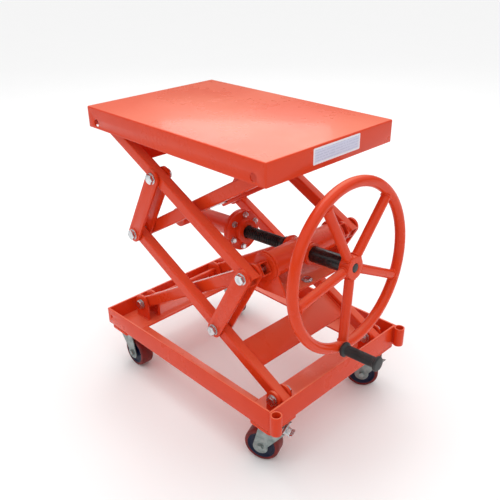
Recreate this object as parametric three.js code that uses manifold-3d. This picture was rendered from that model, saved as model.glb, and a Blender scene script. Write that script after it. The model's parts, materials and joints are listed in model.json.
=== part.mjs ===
// Screw-driven double-scissor lift table on castors: a handwheel at the front turns a screw
// that draws the two middle pivots together, which raises the table parallel to its base.
// Millimetres, +Z up, +X towards the handwheel. The origin is under the middle of the whole part.
import * as THREE from 'three';
import { mergeVertices } from 'three/addons/utils/BufferGeometryUtils.js';
import Module from 'manifold-3d';

const wasm = await Module();
wasm.setup();

// ---- driving dimensions ----
const seam = 0.3; // gap between pieces that touch
const running = 0.4; // radial clearance of a turning pin or shaft
const past = 1; // how far a cutting tool or a joined root runs past a face

const table = { length: 600, width: 400, skirt: 50, sheet: 3, pivotDepth: 36, accessHole: 9.5, shift: -1.4 };
const rail = { width: 44, thick: 4, earRadius: 16, ring: 12, ringThick: 2.5 };
const base = { length: 616, beyondTable: 32.5, underside: 119, sheet: 5, frontWeb: 60, rearWeb: 48 };
const flange = { ends: 95, sides: 61 };
const socket = { radius: 13, bore: 9.5, height: 50 };
const ear = { frontRadius: 20, rearRadius: 26 };

const linkage = { pivotHeight: 48, pivotSpan: 532, frontInset: 34.6, outerArm: 540, innerArm: 515 };
const lanes = { skirtGap: 9, play: 2 }; // spaces between the skirt, the straps and the arms
const strap = { fromPivot: 212, span: 199, width: 40, thick: 6, openBore: 12.5 };
const restAngle = THREE.MathUtils.degToRad(26.5);
const arm = { height: 30, width: 25, wall: 2.5, overhang: 20 };
const crossPlate = { from: 77, to: 152, thick: 5 };
const pin = { radius: 8, washer: 17, washerThick: 2.5, headThick: 9, headRadius: 13.8 };

const crossTube = { radius: 30, wall: 5, endWall: 12, bossRadius: 25, bossStand: 7 };
const cheek = { inset: 5, thick: 5, radius: 36, drop: 60, rear: 34, front: 56, lip: 12 };
const cradleBolt = { x: 38, y: 84, headThick: 6 };
const carrier = { hubRadius: 25, hubHalf: 45, tubeRadius: 24, wall: 4, hubSkin: 4, flangeAt: 184 };
const nut = { flangeRadius: 50, flangeThick: 10, bossRadius: 30, bossLength: 15, clearance: 1.25 };
const nutBolts = { count: 6, circle: 40, headRadius: 8, headThick: 6, phase: Math.PI / 9 };
const screw = { radius: 15, rear: 342, toHub: 140, spigot: 10 };
const shoulder = { radius: 19.5, thick: 12 };
const sleeve = { radius: 18.5 };
const wheel = { rimRadius: 185, tube: 12.3, spoke: 11, spokes: 5, hubRadius: 26, hubLength: 26, hubWall: 6 };
const wheelPhase = THREE.MathUtils.degToRad(-99);
const grip = { radius: 12, flange: 17, flangeThick: 8, length: 92, standOff: 14, spindle: 7 };
const gripPhase = THREE.MathUtils.degToRad(-103);

const castor = { insetFront: 34, insetRear: 46, insetY: 45, plateX: 65, plateY: 90, plateThick: 6 };
const roller = { radius: 42, width: 36, trail: 22, axle: 5, hub: 12, hubStand: 1 };
const rollerFace = { dish: 3, dishFrom: 14, dishTo: 30, tread: 34, chamferIn: 3, chamferAcross: 5 };
const fork = { crown: 97, thick: 4, legThick: 3, legGap: 20.5, race: 25, rearLip: 3, boss: 18 };
const axleEnd = { past: 5, headRadius: 8, headPast: 6 };
const kingpin = { radius: 6, below: 4, retainer: 9, retainerBelow: 8 };
const pedal = { x: 30, below: 2, barrel: 4, reach: 20, bend: 12, half: 12, thick: 3 };
const pedalPivot = { radius: 2.1, hole: 2.5 };
const legTip = { past: 5, height: 8, turns: new THREE.Vector2(0.95, 1.85).multiplyScalar(Math.PI) };
const pedalDrop = { root: 1, bend: 10, end: 8 }; // below the pedal's pivot

// Swivel direction of each castor at rest, in degrees about the vertical.
const castors = [
  { name: 'front_right', front: true, side: -1, turn: 22, brake: true },
  { name: 'front_left', front: true, side: 1, turn: 31, brake: false },
  { name: 'rear_right', front: false, side: -1, turn: 178, brake: false },
  { name: 'rear_left', front: false, side: 1, turn: 164, brake: false },
];

// ---- positions across the width, from the table's skirt inwards ----
const outerFaceY = table.width / 2 - table.sheet - lanes.skirtGap;
const outerStrapY = outerFaceY - strap.thick;
const outerArmY = outerStrapY - lanes.play - arm.width;
const innerStrapY = outerArmY - lanes.play / 2 - strap.thick;
const innerArmY = innerStrapY - lanes.play - arm.width;
const innerEarY = innerArmY - lanes.play - strap.thick;
const tubeHalf = innerArmY - lanes.play;

// ---- linkage solved at rest, in the plane of the arms ----
const polar = (length, angle) => new THREE.Vector2(length * Math.cos(angle), length * Math.sin(angle));
const baseFront = base.length / 2;
const basePivotZ = base.underside + linkage.pivotHeight;
const baseFrontPivot = new THREE.Vector2(baseFront - linkage.frontInset, basePivotZ);
const baseRearPivot = baseFrontPivot.clone().sub(new THREE.Vector2(linkage.pivotSpan, 0));
const alongOuter = Math.PI - restAngle;
const lowerStrapPivot = baseFrontPivot.clone().add(polar(strap.fromPivot, alongOuter));
const rearMidPivot = baseFrontPivot.clone().add(polar(linkage.outerArm, alongOuter));
const toStrap = lowerStrapPivot.clone().sub(baseRearPivot);
const reach = toStrap.length();
const opening = Math.acos(
  (reach ** 2 + linkage.innerArm ** 2 - strap.span ** 2) / (2 * reach * linkage.innerArm),
);
const innerAngle = toStrap.angle() + opening;
const frontMidPivot = baseRearPivot.clone().add(polar(linkage.innerArm, innerAngle));
const strapAngle = frontMidPivot.clone().sub(lowerStrapPivot).angle();
const middle = rearMidPivot.clone().add(frontMidPivot);
const upperStrapPivot = middle.clone().sub(lowerStrapPivot);
const tableFrontPivot = middle.clone().sub(baseRearPivot);
const tableRearPivot = middle.clone().sub(baseFrontPivot);
const tableTop = tableFrontPivot.y + table.pivotDepth;
const tableCentreX = (tableFrontPivot.x + tableRearPivot.x) / 2 + table.shift;
const screwAngle = frontMidPivot.clone().sub(rearMidPivot).angle();

// ---- solids ----
function solidOf(geometry) {
  const bare = geometry.index ? geometry.toNonIndexed() : geometry.clone();
  Object.keys(bare.attributes)
    .filter((name) => name !== 'position')
    .forEach((name) => bare.deleteAttribute(name));
  const merged = mergeVertices(bare, 1e-4);
  const vertProperties = new Float32Array(merged.attributes.position.array);
  const triVerts = new Uint32Array(merged.index.array);
  return new wasm.Manifold(new wasm.Mesh({ numProp: 3, vertProperties, triVerts }));
}

function geometryOf(solid) {
  const mesh = solid.getMesh();
  const geometry = new THREE.BufferGeometry();
  geometry.setAttribute('position', new THREE.BufferAttribute(mesh.vertProperties, 3));
  geometry.setIndex(new THREE.BufferAttribute(mesh.triVerts, 1));
  geometry.computeVertexNormals();
  return geometry;
}

const join = (solids) => solids.reduce((whole, piece) => whole.add(piece));
const cut = (solid, tools) => tools.reduce((whole, tool) => whole.subtract(tool), solid);

function box(x0, x1, y0, y1, z0, z1) {
  const geometry = new THREE.BoxGeometry(x1 - x0, y1 - y0, z1 - z0);
  return solidOf(geometry.translate((x0 + x1) / 2, (y0 + y1) / 2, (z0 + z1) / 2));
}

function rodY(radius, y0, y1, x = 0, z = 0, sides = 12) {
  const geometry = new THREE.CylinderGeometry(radius, radius, y1 - y0, sides);
  return solidOf(geometry.translate(x, (y0 + y1) / 2, z));
}

function rodX(radius, x0, x1, y = 0, z = 0, sides = 16) {
  const geometry = new THREE.CylinderGeometry(radius, radius, x1 - x0, sides).rotateZ(Math.PI / 2);
  return solidOf(geometry.translate((x0 + x1) / 2, y, z));
}

function rodZ(radius, z0, z1, x = 0, y = 0, sides = 16) {
  const geometry = new THREE.CylinderGeometry(radius, radius, z1 - z0, sides).rotateX(Math.PI / 2);
  return solidOf(geometry.translate(x, y, (z0 + z1) / 2));
}

// A point at a distance and an angle about the X axis.
const aroundX = (radius, angle) => [radius * Math.cos(angle), radius * Math.sin(angle)];

// The radius of a hole tool whose flats, not its corners, keep the full clearance.
const around = (radius, sides) => radius / Math.cos(Math.PI / sides);

// A flat outline in the X-Z plane, given thickness from y0 to y1.
function plateXZ(shape, y0, y1, curveSegments = 5) {
  const geometry = new THREE.ExtrudeGeometry(shape, { depth: y1 - y0, bevelEnabled: false, curveSegments });
  return solidOf(geometry.rotateX(Math.PI / 2).translate(0, y1, 0));
}

// A bar outline with round ends about two centres on the X axis.
function roundBar(x0, x1, radius) {
  const shape = new THREE.Shape();
  shape.absarc(x1, 0, radius, -Math.PI / 2, Math.PI / 2, false);
  shape.absarc(x0, 0, radius, Math.PI / 2, (3 * Math.PI) / 2, false);
  return shape;
}

// A pivot ear outline: a round head about (x, z) on a straight root that reaches zRoot.
function earOutline(x, z, radius, zRoot) {
  const up = z > zRoot;
  const shape = new THREE.Shape();
  shape.moveTo(x + radius, zRoot);
  shape.absarc(x, z, radius, 0, Math.PI, !up);
  shape.lineTo(x - radius, zRoot);
  return shape;
}

// ---- materials ----
const finish = (color, roughness, metalness) => () =>
  new THREE.MeshStandardMaterial({ color, roughness, metalness });
const paint = finish(0xd8432a, 0.35, 0.0);
const zinc = finish(0xb9c0c4, 0.35, 0.9);
const blackSteel = finish(0x1b1a1c, 0.5, 0.6);
const rubber = finish(0x1c1e1f, 0.65, 0.0);
const tyre = finish(0x181c2a, 0.55, 0.0);

const part = new THREE.Group();

function add(parent, name, solid, material) {
  const mesh = new THREE.Mesh(geometryOf(solid), material());
  mesh.name = name;
  parent.add(mesh);
  return mesh;
}

// A group at a pivot of the linkage, turned about the pivot's own cross axis.
function pivotGroup(pivot, angle, parent = part) {
  const group = new THREE.Group();
  group.position.set(pivot.x, 0, pivot.y);
  group.rotation.y = angle;
  parent.add(group);
  return group;
}

const sides = [
  { name: 'left', sign: 1 },
  { name: 'right', sign: -1 },
];

// Runs a solid from one distance to another on the left or the right of the middle plane.
const span = (sign, near, far) => (sign > 0 ? [near, far] : [-far, -near]);

// ---- fasteners ----
// A pivot rod or bolt, with a washer and a hexagon head outside each face that it holds.
function pivotRod(y0, y1, heads) {
  const pieces = [rodY(pin.radius, y0, y1)];
  heads.forEach(({ at, out, washer }) => {
    const washerEnd = at + out * pin.washerThick;
    const headEnd = washerEnd + out * pin.headThick;
    pieces.push(rodY(washer, Math.min(at, washerEnd), Math.max(at, washerEnd), 0, 0, 16));
    pieces.push(rodY(pin.headRadius, Math.min(washerEnd, headEnd), Math.max(washerEnd, headEnd), 0, 0, 6));
  });
  return join(pieces);
}

function throughRod(face, washer = pin.washer) {
  const end = face + seam;
  const heads = [1, -1].map((out) => ({ at: out * end, out, washer }));
  return pivotRod(-end, end, heads);
}

function sideBolt(sign) {
  const inner = innerStrapY - seam;
  const outer = outerFaceY + seam;
  const [y0, y1] = span(sign, inner, outer);
  return pivotRod(y0, y1, [
    { at: sign * outer, out: sign, washer: pin.washer },
    { at: sign * inner, out: -sign, washer: pin.headRadius },
  ]);
}

// ---- base frame ----
const bore = around(pin.radius + running, 12);
const floorZ = base.underside;
const flangeTop = floorZ + base.sheet;
const half = table.width / 2 + base.beyondTable;
const webInner = half - base.sheet;

function earPair(x, radius, y0, gap) {
  const outline = earOutline(x, basePivotZ, radius, flangeTop - past);
  return [1, -1].flatMap((sign) =>
    [y0, y0 + gap].map((y) => plateXZ(outline, ...span(sign, y, y + strap.thick))),
  );
}

function frontMember() {
  const web = box(baseFront - base.sheet, baseFront, -half, half, floorZ, floorZ + base.frontWeb);
  const back = baseFront - flange.ends;
  const foot = box(back, baseFront - past, -webInner + seam, webInner - seam, floorZ, flangeTop);
  const ears = earPair(baseFrontPivot.x, ear.frontRadius, innerStrapY, outerStrapY - innerStrapY);
  const hole = rodY(bore, -half, half, baseFrontPivot.x, basePivotZ);
  return cut(join([web, foot, ...ears]), [hole]);
}

function rearMember() {
  const back = -baseFront;
  const limit = webInner - seam;
  const web = box(back, back + base.sheet, -limit, limit, floorZ, floorZ + base.rearWeb);
  const foot = box(back + past, back + flange.ends, -limit, limit, floorZ, flangeTop);
  const ears = earPair(baseRearPivot.x, ear.rearRadius, innerEarY, innerStrapY - innerEarY);
  const hole = rodY(bore, -half, half, baseRearPivot.x, basePivotZ);
  return cut(join([web, foot, ...ears]), [hole]);
}

function sideMember(sign) {
  const front = baseFront - base.sheet - seam;
  const outline = new THREE.Shape();
  outline.moveTo(-baseFront, floorZ);
  outline.lineTo(front, floorZ);
  outline.lineTo(front, floorZ + base.frontWeb);
  outline.lineTo(-baseFront, floorZ + base.rearWeb);
  const web = plateXZ(outline, ...span(sign, webInner, half));
  const clear = flange.ends + seam;
  const foot = box(
    -baseFront + clear, baseFront - clear,
    ...span(sign, half - flange.sides, half - past), floorZ, flangeTop,
  );
  return join([web, foot]);
}

function handleSocket(sign) {
  const x = baseFront + socket.radius + seam;
  const y = sign * (half - socket.radius / 3);
  const top = floorZ + base.frontWeb;
  const tube = rodZ(socket.radius, top - socket.height, top, x, y);
  return cut(tube, [rodZ(socket.bore, top - socket.height - past, top + past, x, y)]);
}

add(part, 'base_front_member', frontMember(), paint);
add(part, 'base_rear_member', rearMember(), paint);
sides.forEach(({ name, sign }) => {
  add(part, `base_side_member_${name}`, sideMember(sign), paint);
  add(part, `handle_socket_${name}`, handleSocket(sign), paint);
});

sides.forEach(({ name, sign }) => {
  add(pivotGroup(baseFrontPivot, 0), `base_front_pin_${name}`, sideBolt(sign), zinc);
});
const rearRod = pivotGroup(baseRearPivot, 0);
add(rearRod, 'base_rear_pivot_rod', throughRod(innerStrapY + strap.thick), zinc);

// ---- castors ----
const plateZ = base.underside - seam - castor.plateThick;
const crownTop = fork.crown + fork.thick;
const pedalZ = fork.crown - pedal.below;

function castorPlate() {
  const plate = box(
    -castor.plateX / 2, castor.plateX / 2, -castor.plateY / 2, castor.plateY / 2,
    plateZ, plateZ + castor.plateThick,
  );
  const race = rodZ(fork.race, crownTop + seam, plateZ + past);
  const post = rodZ(kingpin.radius, fork.crown - kingpin.below, crownTop + past);
  const retainerLow = fork.crown - kingpin.retainerBelow;
  const retainer = rodZ(kingpin.retainer, retainerLow, fork.crown - seam, 0, 0, 6);
  return join([plate, race, post, retainer]);
}

function legOutline() {
  const shape = new THREE.Shape();
  const root = fork.crown + past;
  const tip = pedal.x + legTip.past;
  const { x: fromTurn, y: toTurn } = legTip.turns;
  shape.moveTo(tip, root);
  shape.lineTo(-fork.race, root);
  shape.absarc(-roller.trail, roller.radius, fork.boss, fromTurn, toTurn, false);
  shape.lineTo(tip, fork.crown - legTip.height);
  return shape;
}

function castorFork() {
  const edge = fork.legGap + fork.legThick;
  const crown = box(-fork.race - fork.rearLip, fork.race, -edge, edge, fork.crown, crownTop);
  const outline = legOutline();
  const legs = [1, -1].map((sign) => plateXZ(outline, ...span(sign, fork.legGap, edge)));
  const axleTip = edge + axleEnd.past;
  const axle = rodY(roller.axle, -axleTip, axleTip, -roller.trail, roller.radius, 12);
  const heads = [1, -1].map((sign) => {
    const [y0, y1] = span(sign, edge - past, edge + axleEnd.headPast);
    return rodY(axleEnd.headRadius, y0, y1, -roller.trail, roller.radius, 6);
  });
  const kingpinHole = rodZ(around(kingpin.radius + running, 16), fork.crown - past, crownTop + past);
  const pivotHole = rodY(pedalPivot.hole, -edge - past, edge + past, pedal.x, pedalZ, 8);
  return cut(join([crown, ...legs, axle, ...heads]), [kingpinHole, pivotHole]);
}

function castorWheel() {
  const r = roller.radius;
  const w = roller.width / 2;
  const hole = around(roller.axle + running, 12);
  const face = [
    [hole, w + roller.hubStand],
    [roller.hub, w + roller.hubStand],
    [rollerFace.dishFrom, w - rollerFace.dish],
    [rollerFace.dishTo, w - rollerFace.dish],
    [rollerFace.tread, w],
    [r - rollerFace.chamferIn, w],
    [r, w - rollerFace.chamferAcross],
  ];
  const farFace = face.map(([x, y]) => [x, -y]);
  const outline = [...farFace, ...face.toReversed(), farFace[0]];
  const profile = outline.map(([x, y]) => new THREE.Vector2(x, y));
  return solidOf(new THREE.LatheGeometry(profile, 16).translate(-roller.trail, 0, r));
}

function brakePedal() {
  const limit = fork.legGap - seam;
  const under = [[0, -pedalDrop.root], [pedal.bend, -pedalDrop.bend], [pedal.reach, -pedalDrop.end]];
  const over = under.map(([x, z]) => [x, z + pedal.thick]);
  const outline = [...under, ...over.toReversed()];
  const shape = new THREE.Shape(outline.map(([x, z]) => new THREE.Vector2(pedal.x + x, pedalZ + z)));
  const pivotEnd = limit + fork.legThick;
  const pivot = rodY(pedalPivot.radius, -pivotEnd, pivotEnd, pedal.x, pedalZ, 8);
  const barrel = rodY(pedal.barrel, -limit, limit, pedal.x, pedalZ, 12);
  return join([barrel, plateXZ(shape, -pedal.half, pedal.half), pivot]);
}

castors.forEach(({ name, front, side, turn, brake }) => {
  const inset = front ? castor.insetFront : castor.insetRear;
  const x = front ? baseFront - inset : -baseFront + inset;
  const y = side * (half - castor.insetY);
  const plateGroup = new THREE.Group();
  plateGroup.position.set(x, y, 0);
  part.add(plateGroup);
  add(plateGroup, `castor_plate_${name}`, castorPlate(), paint);
  const swivel = new THREE.Group();
  swivel.rotation.z = THREE.MathUtils.degToRad(turn);
  plateGroup.add(swivel);
  add(swivel, `castor_fork_${name}`, castorFork(), zinc);
  add(swivel, `castor_wheel_${name}`, castorWheel(), tyre);
  if (brake) add(swivel, `brake_pedal_${name}`, brakePedal(), zinc);
});

// ---- scissor arms ----
// A rectangular tube along X with round bores for its pins and open ends.
function armTube(x0, x1, y0, bores) {
  const h = arm.height / 2;
  const w = arm.wall;
  const outer = box(x0, x1, y0, y0 + arm.width, -h, h);
  const hollow = box(x0 - past, x1 + past, y0 + w, y0 + arm.width - w, -h + w, h - w);
  const holes = bores.map((x) => rodY(bore, y0 - past, y0 + arm.width + past, x));
  return cut(outer, [hollow, ...holes]);
}

function outerArm(sign, bores) {
  const [y0] = span(sign, outerArmY, outerArmY + arm.width);
  return armTube(-linkage.outerArm - arm.overhang, arm.overhang, y0, bores);
}

function innerArm(sign) {
  const [y0] = span(sign, innerArmY, innerArmY + arm.width);
  return armTube(-arm.overhang, linkage.innerArm + arm.overhang, y0, [0, linkage.innerArm]);
}

function armCrossPlate(from, to) {
  const limit = outerArmY - seam;
  const t = crossPlate.thick / 2;
  return box(from, to, -limit, limit, -t, t);
}

// Two flat links on each side of the outer arms, one inside and one outside.
function addStraps(group, prefix) {
  const outline = roundBar(0, strap.span, strap.width / 2);
  sides.forEach(({ name, sign }) => {
    [['inner', innerStrapY], ['outer', outerStrapY]].forEach(([place, y]) => {
      const plate = plateXZ(outline, ...span(sign, y, y + strap.thick));
      const holes = [[0, bore], [strap.span, strap.openBore]].map(([x, r]) =>
        rodY(r, -outerFaceY - past, outerFaceY + past, x),
      );
      add(group, `${prefix}_${place}_${name}`, cut(plate, holes), paint);
    });
  });
}

const lowerOuter = pivotGroup(baseFrontPivot, restAngle);
const lowerInner = pivotGroup(baseRearPivot, -innerAngle);
const upperOuter = pivotGroup(frontMidPivot, restAngle);
const upperInner = pivotGroup(rearMidPivot, -innerAngle);
const strapOnUpper = linkage.outerArm - strap.fromPivot;

sides.forEach(({ name, sign }) => {
  const lowerBores = [0, -strap.fromPivot, -linkage.outerArm];
  const upperBores = [0, -strapOnUpper, -linkage.outerArm];
  add(lowerOuter, `lower_outer_arm_${name}`, outerArm(sign, lowerBores), paint);
  add(upperOuter, `upper_outer_arm_${name}`, outerArm(sign, upperBores), paint);
  add(lowerInner, `lower_inner_arm_${name}`, innerArm(sign), paint);
  add(upperInner, `upper_inner_arm_${name}`, innerArm(sign), paint);
});
add(lowerOuter, 'lower_arm_cross_plate', armCrossPlate(-crossPlate.to, -crossPlate.from), paint);
const plateOnUpper = crossPlate.from - linkage.outerArm;
const plateEnd = crossPlate.to - linkage.outerArm;
add(upperOuter, 'upper_arm_cross_plate', armCrossPlate(plateOnUpper, plateEnd), paint);

const lowerStraps = pivotGroup(lowerStrapPivot, -strapAngle);
const upperStraps = pivotGroup(upperStrapPivot, -strapAngle - Math.PI);
addStraps(lowerStraps, 'lower_strap');
addStraps(upperStraps, 'upper_strap');
sides.forEach(({ name, sign }) => {
  add(pivotGroup(lowerStrapPivot, restAngle), `lower_strap_bolt_${name}`, sideBolt(sign), zinc);
  add(pivotGroup(upperStrapPivot, restAngle), `upper_strap_bolt_${name}`, sideBolt(sign), zinc);
});
add(pivotGroup(rearMidPivot, restAngle), 'rear_cross_shaft', throughRod(outerFaceY), zinc);

// ---- table ----
const tableGroup = new THREE.Group();
tableGroup.position.set(tableCentreX, 0, tableTop);
part.add(tableGroup);
const tablePivots = [
  { name: 'front', x: tableFrontPivot.x - tableCentreX, near: innerEarY, far: innerStrapY },
  { name: 'rear', x: tableRearPivot.x - tableCentreX, near: innerStrapY, far: outerStrapY },
];

function tableTray() {
  const x = table.length / 2;
  const y = table.width / 2;
  const t = table.sheet;
  const outer = box(-x, x, -y, y, -table.skirt, 0);
  const inside = box(-x + t, x - t, -y + t, y - t, -table.skirt - past, -t);
  const holes = tablePivots.map((pivot) =>
    rodY(table.accessHole, -y - past, y + past, pivot.x, -table.pivotDepth),
  );
  return cut(outer, [inside, ...holes]);
}

// A flat bar under the sheet, with two ears on each side that hold one pair of arms.
function pivotRail({ x, near, far }) {
  const top = -table.sheet - seam;
  const low = top - rail.thick;
  const end = far + strap.thick;
  const bar = box(x - rail.width / 2, x + rail.width / 2, -end, end, low, top);
  const outline = earOutline(x, -table.pivotDepth, rail.earRadius, low + past);
  const ears = [1, -1].flatMap((sign) =>
    [near, far].map((y) => plateXZ(outline, ...span(sign, y, y + strap.thick))),
  );
  return cut(join([bar, ...ears]), [rodY(bore, -end - past, end + past, x, -table.pivotDepth)]);
}

// A plain pivot rod kept in place by a ring outside each outer ear.
function ringedRod({ far }) {
  const end = far + strap.thick + seam;
  const rings = [1, -1].map((sign) => rodY(rail.ring, ...span(sign, end, end + rail.ringThick)));
  const tip = end + rail.ringThick + past;
  return join([rodY(pin.radius, -tip, tip), ...rings]);
}

add(tableGroup, 'table_top', tableTray(), paint);
tablePivots.forEach((pivot) => {
  add(tableGroup, `table_${pivot.name}_pivot_rail`, pivotRail(pivot), paint);
  const rod = add(tableGroup, `table_${pivot.name}_pivot_rod`, ringedRod(pivot), zinc);
  rod.position.set(pivot.x, 0, -table.pivotDepth);
});

// ---- front cross tube, which holds the screw ----
const screwGroup = pivotGroup(frontMidPivot, -screwAngle);
const screwBore = around(screw.radius + running, 16);
const bossEnd = crossTube.radius + crossTube.bossStand;

function frontCrossTube() {
  const end = tubeHalf;
  const tube = rodY(crossTube.radius, -end, end, 0, 0, 20);
  const boss = rodX(crossTube.bossRadius, -bossEnd, bossEnd);
  const cavities = [1, -1].map((sign) =>
    rodY(
      crossTube.radius - crossTube.wall,
      ...span(sign, crossTube.bossRadius, end - crossTube.endWall),
      0, 0, 20,
    ),
  );
  const pinHole = rodY(bore, -end - past, end + past);
  const screwHole = rodX(screwBore, -bossEnd - past, bossEnd + past);
  return cut(join([tube, boss]), [...cavities, pinHole, screwHole]);
}

// A cradle under the tube: a ringed cheek at each end and a floor between them.
function tubeBracket() {
  const outer = tubeHalf - cheek.inset;
  const inner = outer - cheek.thick;
  const shape = new THREE.Shape();
  shape.absarc(0, 0, cheek.radius, -Math.PI * 0.12, Math.PI * 1.1, false);
  shape.lineTo(-cheek.rear, -cheek.drop);
  shape.lineTo(cheek.front, -cheek.drop);
  shape.lineTo(cheek.front, -cheek.drop + cheek.lip);
  const cheeks = [1, -1].map((sign) => plateXZ(shape, ...span(sign, inner, outer), 10));
  const floorTop = -cheek.drop + cheek.thick;
  const floor = box(-cheek.rear, cheek.front, -inner - past, inner + past, -cheek.drop, floorTop);
  const boltTop = floorTop + cradleBolt.headThick;
  const boltY = -inner + cradleBolt.y;
  const bolt = rodZ(pin.headRadius, floorTop - past, boltTop, cradleBolt.x, boltY, 6);
  const hole = rodY(around(crossTube.radius + seam, 20), -outer - past, outer + past, 0, 0, 20);
  return cut(join([...cheeks, floor, bolt]), [hole]);
}

function crossTubePin(sign) {
  const inner = tubeHalf - crossTube.endWall - pin.radius;
  const outer = outerFaceY + seam;
  const [y0, y1] = span(sign, inner, outer);
  return pivotRod(y0, y1, [{ at: sign * outer, out: sign, washer: pin.washer }]);
}

add(screwGroup, 'front_cross_tube', frontCrossTube(), paint);
add(screwGroup, 'cross_tube_bracket', tubeBracket(), paint);
sides.forEach(({ name, sign }) => {
  const group = pivotGroup(frontMidPivot, -innerAngle);
  add(group, `cross_tube_pin_${name}`, crossTubePin(sign), zinc);
});

// ---- nut carrier on the rear cross shaft ----
const carrierGroup = pivotGroup(rearMidPivot, -screwAngle);
const nutFace = carrier.flangeAt + nut.flangeThick + seam;

function nutCarrier() {
  const hub = rodY(carrier.hubRadius, -carrier.hubHalf, carrier.hubHalf, 0, 0, 20);
  const tube = rodX(carrier.tubeRadius, 0, carrier.flangeAt + past, 0, 0, 20);
  const plate = rodX(nut.flangeRadius, carrier.flangeAt, carrier.flangeAt + nut.flangeThick, 0, 0, 24);
  const shaftHole = rodY(bore, -carrier.hubHalf - past, carrier.hubHalf + past);
  const insideStart = carrier.hubRadius - carrier.hubSkin;
  const insideEnd = carrier.flangeAt + nut.flangeThick + past;
  const inside = rodX(carrier.tubeRadius - carrier.wall, insideStart, insideEnd);
  return cut(join([hub, tube, plate]), [shaftHole, inside]);
}

function screwNut() {
  const plateEnd = nutFace + nut.flangeThick;
  const bossEnd = plateEnd + nut.bossLength;
  const plate = rodX(nut.flangeRadius, nutFace, plateEnd, 0, 0, 24);
  const boss = rodX(nut.bossRadius, plateEnd - past, bossEnd);
  const heads = Array.from({ length: nutBolts.count }, (_, i) => {
    const [y, z] = aroundX(nutBolts.circle, nutBolts.phase + (i / nutBolts.count) * 2 * Math.PI);
    return rodX(nutBolts.headRadius, plateEnd - past, plateEnd + nutBolts.headThick, y, z, 6);
  });
  const hole = rodX(screw.radius + nut.clearance, nutFace - past, bossEnd + past);
  return cut(join([plate, boss, ...heads]), [hole]);
}

add(carrierGroup, 'nut_carrier', nutCarrier(), paint);
add(carrierGroup, 'screw_nut', screwNut(), paint);

// ---- screw, collar, handwheel and grip ----
const hubBack = screw.toHub - wheel.hubLength / 2;
const hubFront = screw.toHub + wheel.hubLength / 2;

function leadScrew() {
  const rod = rodX(screw.radius, -screw.rear, hubBack - seam);
  const spigot = rodX(screw.spigot, hubBack - seam - past, hubFront - seam, 0, 0, 12);
  const stopFace = -bossEnd - seam;
  const stop = rodX(shoulder.radius, stopFace - shoulder.thick, stopFace);
  return join([rod, spigot, stop]);
}

function screwSleeve() {
  const back = bossEnd + seam;
  const front = hubBack - seam;
  return cut(rodX(sleeve.radius, back, front), [rodX(screwBore, back - past, front + past)]);
}

function spoke(angle) {
  const length = wheel.rimRadius - screw.spigot - wheel.hubWall;
  const rod = new THREE.CylinderGeometry(wheel.spoke, wheel.spoke, length, 8);
  rod.translate(0, wheel.rimRadius - length / 2, 0);
  return solidOf(rod.rotateX(angle).translate(screw.toHub, 0, 0));
}

function handwheel() {
  const rim = new THREE.TorusGeometry(wheel.rimRadius, wheel.tube, 8, 36);
  rim.rotateY(Math.PI / 2).translate(screw.toHub, 0, 0);
  const hub = rodX(wheel.hubRadius, hubBack, hubFront);
  const step = (2 * Math.PI) / wheel.spokes;
  const spokes = Array.from({ length: wheel.spokes }, (_, i) => spoke(wheelPhase + i * step));
  const [y, z] = aroundX(wheel.rimRadius, gripPhase);
  const tip = screw.toHub + grip.standOff + grip.length - grip.flangeThick;
  const spindle = rodX(grip.spindle, screw.toHub, tip, y, z, 12);
  const hole = rodX(around(screw.spigot + running, 12), hubBack - past, hubFront + past, 0, 0, 12);
  return cut(join([solidOf(rim), hub, ...spokes, spindle]), [hole]);
}

function crankGrip() {
  const [y, z] = aroundX(wheel.rimRadius, gripPhase);
  const start = screw.toHub + grip.standOff;
  const end = start + grip.length;
  const body = rodX(grip.radius, start, end, y, z);
  const flanges = [start, end - grip.flangeThick].map((x) =>
    rodX(grip.flange, x, x + grip.flangeThick, y, z),
  );
  const holeEnd = end - grip.flangeThick + seam;
  const hole = rodX(around(grip.spindle + running, 12), start - past, holeEnd, y, z, 12);
  return cut(join([body, ...flanges]), [hole]);
}

add(screwGroup, 'lead_screw', leadScrew(), blackSteel);
add(screwGroup, 'screw_sleeve', screwSleeve(), blackSteel);
add(screwGroup, 'handwheel', handwheel(), paint);
add(screwGroup, 'crank_grip', crankGrip(), rubber);

// The whole part is centred over the origin.
const extent = new THREE.Box3().setFromObject(part, true);
const centre = extent.getCenter(new THREE.Vector3());
part.position.set(-centre.x, -centre.y, -extent.min.z);

export default part;
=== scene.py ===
import json
import math
from contextlib import contextmanager

import bmesh
import bpy
from mathutils import Matrix, Vector


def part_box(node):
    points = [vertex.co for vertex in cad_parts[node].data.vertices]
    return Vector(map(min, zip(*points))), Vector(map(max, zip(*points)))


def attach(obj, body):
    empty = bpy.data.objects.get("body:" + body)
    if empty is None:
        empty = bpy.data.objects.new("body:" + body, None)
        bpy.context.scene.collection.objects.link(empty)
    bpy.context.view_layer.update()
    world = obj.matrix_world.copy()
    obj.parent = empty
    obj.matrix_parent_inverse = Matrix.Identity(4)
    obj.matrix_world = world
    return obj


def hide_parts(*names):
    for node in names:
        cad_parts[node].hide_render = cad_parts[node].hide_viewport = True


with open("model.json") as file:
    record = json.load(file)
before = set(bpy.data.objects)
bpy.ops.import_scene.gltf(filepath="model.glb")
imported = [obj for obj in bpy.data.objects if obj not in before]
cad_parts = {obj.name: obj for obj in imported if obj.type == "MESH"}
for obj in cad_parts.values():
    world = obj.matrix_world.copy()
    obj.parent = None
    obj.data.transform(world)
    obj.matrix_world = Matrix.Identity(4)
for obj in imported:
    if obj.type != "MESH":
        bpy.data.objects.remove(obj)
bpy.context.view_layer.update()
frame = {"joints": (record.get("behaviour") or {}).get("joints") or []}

toMetres = Matrix.Scale(0.001, 4)  # pieces are modelled in millimetres, then placed at this scale
joints = {joint["name"]: joint for joint in frame["joints"]}


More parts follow.
